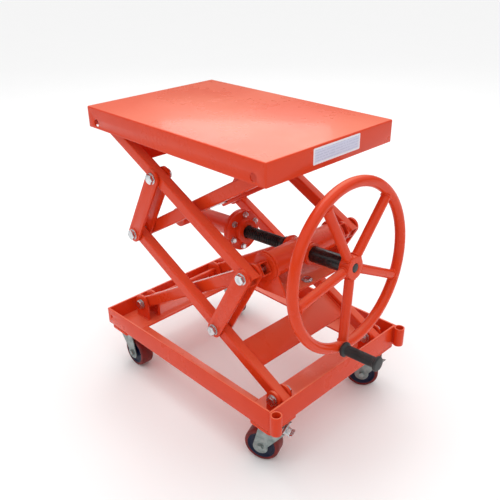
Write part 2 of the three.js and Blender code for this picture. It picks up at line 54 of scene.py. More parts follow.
def pivotOf(joint):
    return Vector(joints[joint]["pos_m"])


def boxOf(node):  # a CAD node's corners in millimetres
    low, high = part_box(node)
    return low * 1000, high * 1000


def frameAt(origin, along, across=(0, 1, 0)):  # local X runs along, local Y runs across
    x = Vector(along).normalized()
    y = Vector(across).normalized()
    z = x.cross(y)
    turn = Matrix((x, y, z)).transposed().to_4x4()
    return Matrix.Translation(origin) @ turn


# modelling helpers

def activate(obj):
    bpy.ops.object.select_all(action="DESELECT")
    obj.select_set(True)
    bpy.context.view_layer.objects.active = obj
    return obj


def applied(obj=None):  # puts the place of a new or given object into its mesh
    obj = activate(obj or bpy.context.object)
    bpy.ops.object.transform_apply(location=True, rotation=True, scale=True)
    return obj


def block(low, high):
    low, high = Vector(low), Vector(high)
    bpy.ops.object.select_all(action="DESELECT")
    bpy.ops.mesh.primitive_cube_add(size=1, location=(low + high) / 2, scale=high - low)
    return applied()


def rod(radius, start, end, vertices=40):  # a cylinder between two points
    start, end = Vector(start), Vector(end)
    along = end - start
    turn = Vector((0, 0, 1)).rotation_difference(along).to_euler()
    bpy.ops.object.select_all(action="DESELECT")
    bpy.ops.mesh.primitive_cylinder_add(
        vertices=vertices, radius=radius, depth=along.length, location=(start + end) / 2, rotation=turn
    )
    return applied()


def ring(major, minor, location, axis=(1, 0, 0), segments=(96, 16)):
    turn = Vector((0, 0, 1)).rotation_difference(Vector(axis)).to_euler()
    bpy.ops.object.select_all(action="DESELECT")
    bpy.ops.mesh.primitive_torus_add(
        major_radius=major, minor_radius=minor, location=location, rotation=turn,
        major_segments=segments[0], minor_segments=segments[1],
    )
    return applied()


@contextmanager
def editing(obj, kind):
    activate(obj)
    bpy.ops.object.mode_set(mode="EDIT")
    bpy.ops.mesh.select_mode(type=kind)
    yield
    bpy.ops.object.mode_set(mode="OBJECT")


def choose(obj, kind, test):  # selects what passes a test of its middle and its normal or direction
    mesh = bmesh.from_edit_mesh(obj.data)
    for face in mesh.faces:
        face.select = False
    for edge in mesh.edges:
        edge.select = False
    for vertex in mesh.verts:
        vertex.select = False
    if kind == "FACE":
        for face in mesh.faces:
            face.select_set(test(face.calc_center_median(), face.normal))
    elif kind == "EDGE":
        for edge in mesh.edges:
            a, b = edge.verts
            edge.select_set(test((a.co + b.co) / 2, (b.co - a.co).normalized()))
    else:
        for vertex in mesh.verts:
            vertex.select_set(test(vertex.co, vertex.normal))
    mesh.select_flush_mode()
    bmesh.update_edit_mesh(obj.data)


def cutAcross(point, normal):
    bpy.ops.mesh.select_all(action="SELECT")
    bpy.ops.mesh.bisect(plane_co=point, plane_no=normal)


def extrudeBy(move):
    bpy.ops.mesh.extrude_region_move(TRANSFORM_OT_translate={"value": move})


def outwards(obj):
    with editing(obj, "FACE"):
        bpy.ops.mesh.select_all(action="SELECT")
        bpy.ops.mesh.remove_doubles(threshold=0.001)
        bpy.ops.mesh.normals_make_consistent(inside=False)
    return obj


def turned(profile, vertices=48, bored=False):  # a shape turned about X from (x, radius) pairs
    firstX, firstRadius = profile[0]
    bpy.ops.object.select_all(action="DESELECT")
    bpy.ops.mesh.primitive_circle_add(
        vertices=vertices, radius=firstRadius, fill_type="NGON",
        location=(firstX, 0, 0), rotation=(0, math.radians(90), 0),
    )
    obj = applied()
    with editing(obj, "FACE"):
        bpy.ops.mesh.select_all(action="SELECT")
        x, radius = firstX, firstRadius
        for nextX, nextRadius in profile[1:]:
            extrudeBy((nextX - x, 0, 0))
            scale = nextRadius / radius
            bpy.ops.transform.resize(value=(1, scale, scale), center_override=(nextX, 0, 0))
            x, radius = nextX, nextRadius
        if bored:  # the first and last faces are the two mouths of the bore
            mesh = bmesh.from_edit_mesh(obj.data)
            for face in mesh.faces:
                face.select_set(len(face.verts) == vertices)
            bmesh.update_edit_mesh(obj.data)
            bpy.ops.mesh.bridge_edge_loops()
    return outwards(obj)


def bevelled(obj, width, segments=3, angle=35):
    activate(obj)
    modifier = obj.modifiers.new("edges", "BEVEL")
    modifier.width = width
    modifier.segments = segments
    modifier.limit_method = "ANGLE"
    modifier.angle_limit = math.radians(angle)
    bpy.ops.object.modifier_apply(modifier=modifier.name)
    return obj


def combined(obj, tool, operation):  # a boolean that uses up its tool
    activate(obj)
    modifier = obj.modifiers.new("combine", "BOOLEAN")
    modifier.operation = operation
    modifier.solver = "EXACT"
    modifier.object = tool
    bpy.ops.object.modifier_apply(modifier=modifier.name)
    bpy.data.objects.remove(tool)
    return obj


def cutBy(obj, tools):
    for tool in tools:
        combined(obj, tool, "DIFFERENCE")
    return obj


def joined(pieces):
    activate(pieces[0])
    for piece in pieces:
        piece.select_set(True)
    bpy.ops.object.join()
    return bpy.context.object


def copyOf(obj):
    twin = obj.copy()
    twin.data = obj.data.copy()
    bpy.context.scene.collection.objects.link(twin)
    return twin


def moved(obj, matrix):  # moves a piece within its own millimetre space
    obj.matrix_world = matrix
    return applied(obj)


def facing(out):  # turns what faces +X to face +Y or -Y
    return Matrix.Rotation(math.radians(90 * out), 4, "Z")


toUpright = Matrix.Rotation(math.radians(-90), 4, "Y")  # turns what faces +X to face +Z
toAcross = facing(1)


def finished(obj, name, body, finish, nodes=(), place=None):
    slot, material = finish
    moved(obj, (place or Matrix.Identity(4)) @ toMetres)
    bpy.ops.object.shade_smooth_by_angle(angle=math.radians(35))
    obj.name = name
    obj.data.materials.clear()
    obj.data.materials.append(material)
    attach(obj, body)
    if nodes:
        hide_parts(*nodes)
    return obj


def standFor(node, obj, body, finish, place=None):  # the piece seen in place of one CAD node
    return finished(obj, node + "_look", body, finish, [node], place)


# material helpers

def plug(tree, value, target):  # links a wire, or sets a plain value
    if isinstance(value, Wire):
        tree.links.new(value.socket, target)
    else:
        target.default_value = value


class Wire:  # a value in a shader, so that sums can be written as sums
    def __init__(self, tree, socket):
        self.tree = tree
        self.socket = socket

    def math(self, operation, *values):
        node = self.tree.nodes.new("ShaderNodeMath")
        node.operation = operation
        for value, target in zip(values, node.inputs):
            plug(self.tree, value, target)
        return Wire(self.tree, node.outputs[0])

    def sine(self):
        return self.math("SINE", self)

    def __add__(self, other):
        return self.math("ADD", self, other)

    __radd__ = __add__

    def __sub__(self, other):
        return self.math("SUBTRACT", self, other)

    def __rsub__(self, other):
        return self.math("SUBTRACT", other, self)

    def __mul__(self, other):
        return self.math("MULTIPLY", self, other)

    __rmul__ = __mul__

    def __gt__(self, other):
        return self.math("GREATER_THAN", self, other)

    def __lt__(self, other):
        return self.math("LESS_THAN", self, other)


class Finish:  # one material and the ways to add nodes to it
    def __init__(self, name, constants=None):
        self.material = bpy.data.materials.new(name)
        self.material.use_nodes = True
        self.tree = self.material.node_tree
        self.shader = self.tree.nodes["Principled BSDF"]
        self.place = self.node("ShaderNodeTexCoord", output="Object")
        for socket, value in (constants or {}).items():
            self.set(socket, value)

    def set(self, socket, value):
        plug(self.tree, value, self.shader.inputs[socket])

    def node(self, kind, settings=None, inputs=None, output=0):
        node = self.tree.nodes.new(kind)
        for setting, value in (settings or {}).items():
            setattr(node, setting, value)
        for socket, value in (inputs or {}).items():
            plug(self.tree, value, node.inputs[socket])
        return Wire(self.tree, node.outputs[output])

    def part(self, axis, vector):  # one coordinate of a vector
        return self.node("ShaderNodeSeparateXYZ", inputs={"Vector": vector}, output=axis)

    def noise(self, scale, detail=3.0, roughness=0.55):
        inputs = {"Vector": self.place, "Scale": scale, "Detail": detail, "Roughness": roughness}
        return self.node("ShaderNodeTexNoise", inputs=inputs)

    def span(self, value, low, high, fromLow=0.3, fromHigh=0.7):  # maps a value onto a range
        inputs = {"Value": value, "From Min": fromLow, "From Max": fromHigh, "To Min": low, "To Max": high}
        return self.node("ShaderNodeMapRange", inputs=inputs)

    def blend(self, factor, first, second):  # sockets 6 and 7 are the two colours
        return self.node("ShaderNodeMix", {"data_type": "RGBA"}, {0: factor, 6: first, 7: second}, 2)

    def bump(self, height, strength, distance):
        inputs = {"Height": height, "Strength": strength, "Distance": distance}
        return self.node("ShaderNodeBump", inputs=inputs)


def orangePaint():
    values = dict(
        # the lighter pink colour and its limits on the next line paint a sky reflection onto upward faces, a
        # painted highlight
        base=(0.80, 0.058, 0.012, 1), deep=(0.70, 0.042, 0.009, 1), paintedSheen=(0.86, 0.20, 0.11, 1),
        roughness=(0.22, 0.36), paintedSheenFrom=0.80, paintedSheenTo=0.98, paintedSheenMost=0.85, peelScale=420.0, peelDepth=0.00009,
        coating={"Specular IOR Level": 0.16, "Coat Weight": 0.16, "Coat Roughness": 0.08, "Coat IOR": 1.5},
    )
    paint = Finish("orangePaint", values["coating"])
    broad = paint.noise(4.0, 2.0)
    fine = paint.noise(38.0, 4.0)
    peel = paint.noise(values["peelScale"], 1.0)
    # upward faces are painted lighter and pinker, in soft patches: a painted reflection of the bright sky
    up = paint.part("Z", paint.node("ShaderNodeTexCoord", output="Normal"))
    level = paint.span(up, 0.0, values["paintedSheenMost"], values["paintedSheenFrom"], values["paintedSheenTo"])
    sheenPatches = paint.span(paint.noise(3.2, 1.0), 0.62, 1.0, 0.42, 0.60)  # broad soft patches of the painted sky reflection
    tone = paint.blend(paint.span(broad + fine * 0.3, 0.0, 0.8, 0.4, 0.9), values["base"], values["deep"])
    paint.set("Base Color", paint.blend(level * sheenPatches, tone, values["paintedSheen"]))
    paint.set("Roughness", paint.span(broad + fine * 0.4, *values["roughness"], 0.5, 0.9))
    paint.set("Normal", paint.bump(peel + broad * 3.0, 0.25, values["peelDepth"]))
    return paint.material


def zincPlate(name, light, dull, roughness):
    plate = Finish(name, {"Metallic": 1.0})
    spangle = plate.noise(240.0, 3.0)
    stain = plate.noise(60.0, 4.0)
    plate.set("Base Color", plate.blend(plate.span(stain, 0.0, 0.9), light, dull))
    plate.set("Roughness", plate.span(spangle + stain, *roughness, 0.8, 1.2))
    plate.set("Normal", plate.bump(spangle, 0.2, 0.00008))
    return plate.material


def blackSteel():
    values = dict(black=(0.012, 0.012, 0.014, 1), worn=(0.055, 0.052, 0.05, 1))
    steel = Finish("blackSteel", {"Metallic": 0.55, "Coat Weight": 0.25, "Coat Roughness": 0.2})
    rub = steel.noise(90.0, 5.0, 0.65)
    grain = steel.noise(700.0, 2.0)
    rubbed = steel.span(rub, 0.0, 0.8, 0.45, 0.75)
    steel.set("Base Color", steel.blend(rubbed, values["black"], values["worn"]))
    steel.set("Roughness", steel.span(rub + grain * 0.5, 0.26, 0.5, 0.6, 0.95))
    steel.set("Normal", steel.bump(grain, 0.2, 0.00008))
    return steel.material


def gripRubber():
    values = dict(black=(0.011, 0.011, 0.012, 1), bloom=(0.035, 0.035, 0.037, 1), pebbles=900.0)
    rubber = Finish("gripRubber")
    inputs = {"Vector": rubber.place, "Scale": values["pebbles"]}
    pebble = rubber.node("ShaderNodeTexVoronoi", {"feature": "DISTANCE_TO_EDGE"}, inputs)
    cloud = rubber.noise(70.0, 4.0)
    rubber.set("Base Color", rubber.blend(rubber.span(cloud, 0.0, 0.7), values["black"], values["bloom"]))
    rubber.set("Roughness", rubber.span(cloud, 0.36, 0.55))
    rubber.set("Normal", rubber.bump(pebble, 0.3, 0.00015))
    return rubber.material


def wheelCore():
    values = dict(navy=(0.004, 0.008, 0.034, 1), scuff=(0.014, 0.020, 0.05, 1))
    core = Finish("wheelCore", {"Specular IOR Level": 0.25})
    cloud = core.noise(80.0, 4.0)
    scuffed = core.span(cloud, 0.0, 0.8, 0.45, 0.75)
    core.set("Base Color", core.blend(scuffed, values["navy"], values["scuff"]))
    core.set("Roughness", core.span(cloud, 0.26, 0.46))
    core.set("Normal", core.bump(core.noise(500.0, 2.0), 0.15, 0.0001))
    return core.material


def wheelTread():
    values = dict(red=(0.21, 0.012, 0.010, 1), soiled=(0.085, 0.012, 0.012, 1))
    tread = Finish("wheelTread", {"Specular IOR Level": 0.3})
    grime = tread.noise(55.0, 6.0, 0.7)
    dirty = tread.span(grime, 0.0, 0.85, 0.42, 0.66)
    tread.set("Base Color", tread.blend(dirty, values["red"], values["soiled"]))
    tread.set("Roughness", tread.span(grime, 0.32, 0.6))
    tread.set("Normal", tread.bump(tread.noise(420.0, 3.0), 0.25, 0.00015))
    return tread.material


def labelFilm(low, high):  # pale film with faint broken rows between two corners of the label
    values = dict(
        film=(0.66, 0.68, 0.86, 1), ink=(0.40, 0.43, 0.62, 1), edge=(0.85, 0.86, 0.93, 1),
        rows=6, margin=0.12,
    )
    film = Finish("labelFilm", {"Coat Weight": 0.4, "Coat Roughness": 0.15})
    height, width = high.z - low.z, high.y - low.y
    up = film.span(film.part("Z", film.place), 0.0, 1.0, low.z, high.z)
    across = film.span(film.part("Y", film.place), 0.0, 1.0, low.y, high.y)
    wave = (up * (values["rows"] * 2 * math.pi)).sine()
    broken = film.noise(260.0, 2.0, 0.5)
    margin = values["margin"]
    sideMargin = height * margin / width
    inside = (across > sideMargin) * (across < 1 - sideMargin) * (up > margin) * (up < 1 - margin)
    printed = inside * (wave > 0.25) * (broken > 0.46)
    field = film.blend(inside, values["edge"], values["film"])
    film.set("Base Color", film.blend(printed * 0.5, field, values["ink"]))
    film.set("Roughness", film.span(broken, 0.28, 0.4))
    return film.material


plating = dict(
    bright=((0.78, 0.80, 0.82, 1), (0.40, 0.42, 0.43, 1), (0.18, 0.42)),  # light, dull, roughness
    pressed=((0.36, 0.41, 0.40, 1), (0.20, 0.24, 0.235, 1), (0.34, 0.52)),
)
orange = ("orange_paint", orangePaint())  # a finish is a slot and its material
zinc = ("zinc_steel", zincPlate("zincPlate", *plating["bright"]))
pressedZinc = ("zinc_steel", zincPlate("pressedZinc", *plating["pressed"]))
black = ("black_steel", blackSteel())
rubber = ("black_rubber", gripRubber())
print("materials ready")

# camera, light and floor

view = dict(
    azimuth=45.77, elevation=27.11, roll=-0.68, lens=45.5, distance=1.6, target=(-0.055, 0.017, 0.362),
)


def addCamera():
    angle = math.radians(view["azimuth"])
    rise = math.radians(view["elevation"])
    roll = math.radians(view["roll"])
    back = Vector((math.sin(angle) * math.cos(rise), -math.cos(angle) * math.cos(rise), math.sin(rise)))
    right = Vector((math.cos(angle), math.sin(angle), 0))
    up = back.cross(right)
    across = right * math.cos(roll) + up * math.sin(roll)
    upwards = up * math.cos(roll) - right * math.sin(roll)
    turn = Matrix((across, upwards, back)).transposed().to_4x4()
    bpy.ops.object.camera_add()
    camera = bpy.context.object
    camera.matrix_world = Matrix.Translation(Vector(view["target"]) + back * view["distance"]) @ turn
    camera.data.lens = view["lens"]
    camera.data.sensor_width = 36
    bpy.context.scene.camera = camera


studio = dict(
    skyLow=0.12, skyHigh=1.10, dimBelow=0.15, brightAbove=0.55,
    floorTone=(0.95, 0.95, 0.95, 1), floorPale=(0.96, 0.96, 0.96, 1), floorSize=80, aim=(0, 0, 0.4),
    lights=[  # place, size, watts
        ((-0.3, 0.1, 3.0), (1.8, 1.8), 20),
        ((-2.05, 1.95, 2.3), (1.5, 1.3), 12),
    ],
)


def addSky():  # white overhead and dimmer towards the horizon, so upright faces keep their colour
    world = bpy.data.worlds.new("studio")
    world.use_nodes = True
    bpy.context.scene.world = world
    tree = world.node_tree
    way = tree.nodes.new("ShaderNodeTexCoord")
    split = tree.nodes.new("ShaderNodeSeparateXYZ")
    ramp = tree.nodes.new("ShaderNodeMapRange")
    ramp.interpolation_type = "SMOOTHSTEP"
    ramp.inputs["From Min"].default_value = studio["dimBelow"]
    ramp.inputs["From Max"].default_value = studio["brightAbove"]
    ramp.inputs["To Min"].default_value = studio["skyLow"]
    ramp.inputs["To Max"].default_value = studio["skyHigh"]
    sky = tree.nodes["Background"]
    sky.inputs["Color"].default_value = (1, 1, 1, 1)
    tree.links.new(way.outputs["Generated"], split.inputs[0])
    tree.links.new(split.outputs["Z"], ramp.inputs["Value"])
    tree.links.new(ramp.outputs[0], sky.inputs["Strength"])


def addStudio():
    addSky()
    for place, size, watts in studio["lights"]:
        bpy.ops.object.light_add(type="AREA", location=place)
        light = bpy.context.object
        light.data.shape = "RECTANGLE"
        light.data.size, light.data.size_y = size
        light.visible_camera = False
        light.data.energy = watts
        towards = Vector(studio["aim"]) - Vector(place)
        light.rotation_euler = towards.to_track_quat("-Z", "Y").to_euler()
    bpy.ops.mesh.primitive_plane_add(size=studio["floorSize"], location=(0, 0, -0.0005))
    floor = bpy.context.object
    floor.name = "studio_floor"
    matt = Finish("floorPaper", {"Roughness": 0.9})
    matt.set("Base Color", matt.blend(matt.noise(3.0), studio["floorTone"], studio["floorPale"]))
    floor.data.materials.append(matt.material)


addCamera()
addStudio()
bpy.context.scene.view_settings.view_transform = "Standard"
print("camera and studio ready")

# bolts and rods

bolt = dict(flat=22, head=8, past=1.5, washer=13.5, washerThick=2, pin=8)
cover = dict(radius=16.5, thick=1.2, gap=0.15)


def hexHead(flat, height):  # a chamfered hexagon head standing on X = 0
    corner = flat / math.sqrt(3)
    head = turned([(0, corner), (height, corner)], vertices=6)
    cone = turned([(-1, corner * 1.6), (height * 0.62, corner * 1.14), (height + 0.01, corner * 0.82)])
    combined(head, cone, "INTERSECT")
    return bevelled(head, 0.35, 2, 25)


def boltEnd():  # washer and head, standing on X = 0 and facing +X
    washer = bevelled(turned([(0, bolt["washer"]), (bolt["washerThick"], bolt["washer"])]), 0.5, 2)
    head = hexHead(bolt["flat"], bolt["head"])
    moved(head, Matrix.Translation((bolt["washerThick"], 0, 0)))
    return joined([washer, head])


boltMaster = boltEnd()


def endAt(centre, out):  # a copy of the bolt end at a point, facing out along Y
    tilt = Matrix.Rotation(math.radians(17 + 11 * out), 4, "Y")
    return moved(copyOf(boltMaster), Matrix.Translation(centre) @ tilt @ facing(out))


def rodPiece(node, body, joint, heads=2, paintedShank=False):  # a pin across the machine
    low, high = boxOf(node)
    centre = pivotOf(joint) * 1000
    stack = bolt["washerThick"] + bolt["head"] + bolt["past"]
    through = low.y < 0 < high.y
    outer = 1 if low.y + high.y > 0 else -1  # a single head stands on the outer end
    ends = {1: high.y, -1: low.y}
    pieces = []
    for out in (1, -1):
        seat = ends[out] - out * stack
        if heads == 2 or out == outer:
            pieces.append(endAt((centre.x, seat, centre.z), out))
        if through or out == outer:  # the inner end of a short pin shows past its head
            ends[out] = seat
    shank = rod(bolt["pin"], (centre.x, ends[-1], centre.z), (centre.x, ends[1], centre.z))
    bevelled(shank, 0.8, 2)
    if paintedShank:
        finished(shank, node + "_shank", body, orange)
    else:
        pieces.append(shank)
    return standFor(node, joined(pieces), body, zinc)


def coverWasher(joint, body, face, name):  # a painted washer over an opened strap end
    centre = pivotOf(joint) * 1000
    disc = bevelled(turned([(0, cover["radius"]), (cover["thick"], cover["radius"])]), 0.4, 2)
    out = 1 if face > 0 else -1
    moved(disc, Matrix.Translation((centre.x, face + out * cover["gap"], centre.z)) @ facing(out))
    return finished(disc, name, body, orange)


def addRods():
    rodPiece("base_rear_pivot_rod", "base_frame", "lower_inner_swing", paintedShank=True)
    rodPiece("rear_cross_shaft", "lower_outer_arms", "upper_inner_swing")
    for side in ("left", "right"):
        rodPiece(f"base_front_pin_{side}", "base_frame", "lift")
        rodPiece(f"lower_strap_bolt_{side}", "lower_outer_arms", "lower_strap_swing")
        rodPiece(f"upper_strap_bolt_{side}", "upper_outer_arms", "upper_strap_swing")
        rodPiece(f"cross_tube_pin_{side}", "lower_inner_arms", "upper_outer_swing", heads=1)
        low, high = boxOf(f"lower_strap_outer_{side}")
        face = high.y if side == "left" else low.y
        coverWasher("upper_outer_swing", "lower_inner_arms", face, f"front_cover_washer_{side}")
        coverWasher("upper_inner_swing", "lower_outer_arms", face, f"rear_cover_washer_{side}")


addRods()
print("bolts and rods ready")

# arms, straps and cross plates

arm = dict(height=30, wall=2.5, overhang=20, corner=4.0)
strap = dict(width=40, edge=0.9, openBore=12.5)
pivotHole = 8.5
crossPlate = dict(start=77, end=152, thick=5, edge=1.0, bead=2.6, beadInset=1.2, beadShort=2)
pastEnd = 5  # how far a cutting rod runs past what it cuts

baseFront = pivotOf("lift")
baseRear = pivotOf("lower_inner_swing")
midRear = pivotOf("upper_inner_swing")
midFront = pivotOf("upper_outer_swing")
tableFront = pivotOf("table_level")
tableRear = midRear + midFront - baseFront
lowerStrap = pivotOf("lower_strap_swing")
upperStrap = pivotOf("upper_strap_swing")


def boxTube(length, y0, y1):  # a rectangular tube along X with rounded corners and open ends
    over, half = arm["overhang"], arm["height"] / 2
    tube = block((-over, y0, -half), (length + over, y1, half))
    with editing(tube, "EDGE"):
        choose(tube, "EDGE", lambda middle, way: abs(way.x) > 0.9)
        bpy.ops.mesh.bevel(offset=arm["corner"], segments=4, affect="EDGES")
    with editing(tube, "FACE"):
        choose(tube, "FACE", lambda middle, normal: abs(normal.x) > 0.9)
        bpy.ops.mesh.inset(thickness=arm["wall"], use_individual=True)
        bpy.ops.mesh.bridge_edge_loops()
    return outwards(tube)


def addArms():
    runs = [
        ("lower_outer_arm", "lower_outer_arms", baseFront, midRear, [lowerStrap]),
        ("lower_inner_arm", "lower_inner_arms", baseRear, midFront, []),
        ("upper_outer_arm", "upper_outer_arms", midFront, tableRear, [upperStrap]),
        ("upper_inner_arm", "upper_inner_arms", midRear, tableFront, []),
    ]
    for name, body, start, end, between in runs:
        for side in ("left", "right"):
            node = f"{name}_{side}"
            low, high = boxOf(node)
            tube = boxTube((end - start).length * 1000, low.y, high.y)
            holes = [(pivot - start).length * 1000 for pivot in (start, *between, end)]
            for x in holes:
                cutBy(tube, [rod(pivotHole, (x, low.y - pastEnd, 0), (x, high.y + pastEnd, 0), 32)])
            bevelled(tube, 0.35, 1, 60)
            standFor(node, tube, body, orange, frameAt(start, end - start))


def flatLink(length, y0, y1, radius):  # a flat bar with round ends, centred on (0, 0) and (length, 0)
    bar = rod(radius, (0, y0, 0), (0, y1, 0), vertices=58)
    with editing(bar, "VERT"):
        choose(bar, "VERT", lambda place, normal: place.x > 0)
        bpy.ops.transform.translate(value=(length, 0, 0))
    holes = ((0, pivotHole), (length, strap["openBore"]))
    cutBy(bar, [rod(bore, (x, y0 - pastEnd, 0), (x, y1 + pastEnd, 0), 40) for x, bore in holes])
    return bevelled(bar, strap["edge"], 3)


def addStraps():
    runs = [
        ("lower_strap", "lower_straps", lowerStrap, midFront),
        ("upper_strap", "upper_straps", upperStrap, midRear),
    ]
    for name, body, start, end in runs:
        for place in ("inner", "outer"):
            for side in ("left", "right"):
                node = f"{name}_{place}_{side}"
                low, high = boxOf(node)
                bar = flatLink((end - start).length * 1000, low.y, high.y, strap["width"] / 2)
                standFor(node, bar, body, orange, frameAt(start, end - start))


def addCrossPlates():
    plates = [
        ("lower_arm_cross_plate", "lower_outer_arms", baseFront, midRear),
        ("upper_arm_cross_plate", "upper_outer_arms", tableRear, midFront),
    ]
    near, far, half = crossPlate["start"], crossPlate["end"], crossPlate["thick"] / 2
    for node, body, start, end in plates:
        low, high = boxOf(node)
        pieces = [bevelled(block((near, low.y, -half), (far, high.y, half)), crossPlate["edge"])]
        for edge in (low.y, high.y):
            for z in (-half, half):
                y = edge - math.copysign(crossPlate["beadInset"], edge)
                x0, x1 = near + crossPlate["beadShort"], far - crossPlate["beadShort"]
                pieces.append(rod(crossPlate["bead"], (x0, y, z), (x1, y, z), 16))
        standFor(node, joined(pieces), body, orange, frameAt(start, end - start))


addArms()
addStraps()
addCrossPlates()
print("arms, straps and plates ready")

# table

lanes = dict(innerEar=113, innerStrap=148, outerStrap=182, plate=6)
tableLook = dict(corner=3.5, sheet=3, accessHole=9.5, railThick=4, earRadius=16, ring=12, ringThick=2.5)
labelLook = dict(middle=7.5, width=149, height=34, below=5, thick=0.3, corner=2.5)


def earPlate(x, z, radius, y0, y1, rootZ):  # a round pivot ear on a straight root
    plate = rod(radius, (x, y0, z), (x, y1, z), 56)
    side = math.copysign(1, rootZ - z)
    with editing(plate, "VERT"):
        choose(plate, "VERT", lambda place, normal: (place.z - z) * side > 0.01)
        bpy.ops.transform.resize(value=(1, 1, 0), center_override=(x, 0, rootZ))
    return plate


def earRow(x, z, radius, near, far, rootZ):  # four ears, two on each side of the middle
    ears = []
    for y in (near, far):
        for y0 in (y, -y - lanes["plate"]):
            ears.append(earPlate(x, z, radius, y0, y0 + lanes["plate"], rootZ))
    for ear in ears:
        cutBy(ear, [rod(pivotHole, (x, -250, z), (x, 250, z), 32)])
        bevelled(ear, 0.7, 2)
    return ears


def addTableTop():
    low, high = boxOf("table_top")
    tray = block(low, high)
    with editing(tray, "FACE"):
        choose(tray, "FACE", lambda middle, normal: normal.z < -0.9)
        bpy.ops.mesh.delete(type="FACE")
    with editing(tray, "EDGE"):
        choose(tray, "EDGE", lambda middle, way: abs(way.z) > 0.9 or middle.z > high.z - 1)
        bpy.ops.mesh.bevel(offset=tableLook["corner"], segments=5, affect="EDGES")
    sheet = tray.modifiers.new("sheet", "SOLIDIFY")
    sheet.thickness = tableLook["sheet"]
    sheet.offset = -1
    sheet.use_even_offset = True
    bpy.ops.object.modifier_apply(modifier=sheet.name)
    tools = []
    for pivot in (tableFront, tableRear):
        x, z = pivot.x * 1000, pivot.z * 1000
        tools.append(rod(tableLook["accessHole"], (x, low.y - pastEnd, z), (x, high.y + pastEnd, z), 40))
    cutBy(tray, tools)
    bevelled(tray, 0.5, 2, 60)
    standFor("table_top", tray, "table", orange)


def addRails():
    rows = [
        ("front", tableFront, lanes["innerEar"], lanes["innerStrap"]),
        ("rear", tableRear, lanes["innerStrap"], lanes["outerStrap"]),
    ]
    for name, pivot, near, far in rows:
        node = f"table_{name}_pivot_rail"
        low, high = boxOf(node)
        x, z = pivot.x * 1000, pivot.z * 1000
        bar = bevelled(block((low.x, low.y, high.z - tableLook["railThick"]), high), 0.8, 2)
        ears = earRow(x, z, tableLook["earRadius"], near, far, high.z - tableLook["railThick"] + 1)
        standFor(node, joined([bar, *ears]), "table", orange)
        node = f"table_{name}_pivot_rod"
        low, high = boxOf(node)
        shaft = bevelled(rod(bolt["pin"], (x, low.y, z), (x, high.y, z)), 1.0, 2)
        pieces = [shaft]
        for out in (1, -1):
            start = out * (high.y - 1 - tableLook["ringThick"])
            ringEnd = rod(tableLook["ring"], (x, start, z), (x, start + out * tableLook["ringThick"], z))
            pieces.append(bevelled(ringEnd, 0.4, 2))
        standFor(node, joined(pieces), "table", zinc)


def addLabel():
    low, high = boxOf("table_top")
    size = labelLook
    y, z = size["middle"] - size["width"] / 2, high.z - size["below"] - size["height"]
    near = Vector((high.x - 0.05, y, z))
    far = Vector((high.x + size["thick"], y + size["width"], z + size["height"]))
    label = block(near, far)
    with editing(label, "EDGE"):
        choose(label, "EDGE", lambda middle, way: abs(way.x) > 0.9)
        bpy.ops.mesh.bevel(offset=size["corner"], segments=4, affect="EDGES")
    finished(label, "skirt_label", "table", ("orange_paint", labelFilm(near / 1000, far / 1000)))


addTableTop()
addRails()
addLabel()
print("table ready")

# base frame

baseLook = dict(sheet=5, frontWeb=60, rearWeb=48, ends=95, sides=61, seam=0.3, bend=5, bead=2.2)
baseEar = dict(front=20, rear=26)
sideHole = dict(fromRear=16, height=27, radius=4.5)
socketLook = dict(radius=13, bore=9.5, height=50, bead=2.4, beadApart=5)


def foldEdge(obj, test):  # rounds the outside of a fold
    with editing(obj, "EDGE"):
        choose(obj, "EDGE", test)
        bpy.ops.mesh.bevel(offset=baseLook["bend"], segments=6, affect="EDGES")


def endMember(node, out, web, pivot, radius, near, far):  # an end web folded inwards into a foot
    low, high = boxOf(node)
    near, far = lanes[near], lanes[far]
    sheet = baseLook["sheet"]
    face = high.x if out > 0 else low.x
    limit = boxOf("base_side_member_left")[1].y - sheet - baseLook["seam"]
    x0, x1 = sorted((face, face - out * sheet))
    member = block((x0, low.y, low.z), (x1, high.y, low.z + web))
    with editing(member, "FACE"):
        cutAcross((0, 0, low.z + sheet), (0, 0, 1))
        cutAcross((0, limit, 0), (0, 1, 0))
        cutAcross((0, -limit, 0), (0, 1, 0))
        choose(member, "FACE", lambda middle, normal: (
            normal.x * out < -0.9 and middle.z < low.z + sheet and abs(middle.y) < limit
        ))
        extrudeBy((-out * (baseLook["ends"] - sheet), 0, 0))
    outwards(member)
    foldEdge(member, lambda middle, way: (
        abs(way.y) > 0.9 and abs(middle.x - face) < 0.1 and middle.z < low.z + 0.1
    ))
    bevelled(member, 0.9, 3)
    ears = earRow(pivot.x * 1000, pivot.z * 1000, radius, near, far, low.z + sheet - 1)
    beads = []
    for ear in ears:  # a weld line along each foot of each ear
        xs = [corner[0] for corner in ear.bound_box]
        ys = [corner[1] for corner in ear.bound_box]
        for y in (min(ys), max(ys)):
            beads.append(rod(baseLook["bead"], (min(xs), y, low.z + sheet), (max(xs), y, low.z + sheet), 14))
    standFor(node, joined([member, *ears, *beads]), "base_frame", orange)


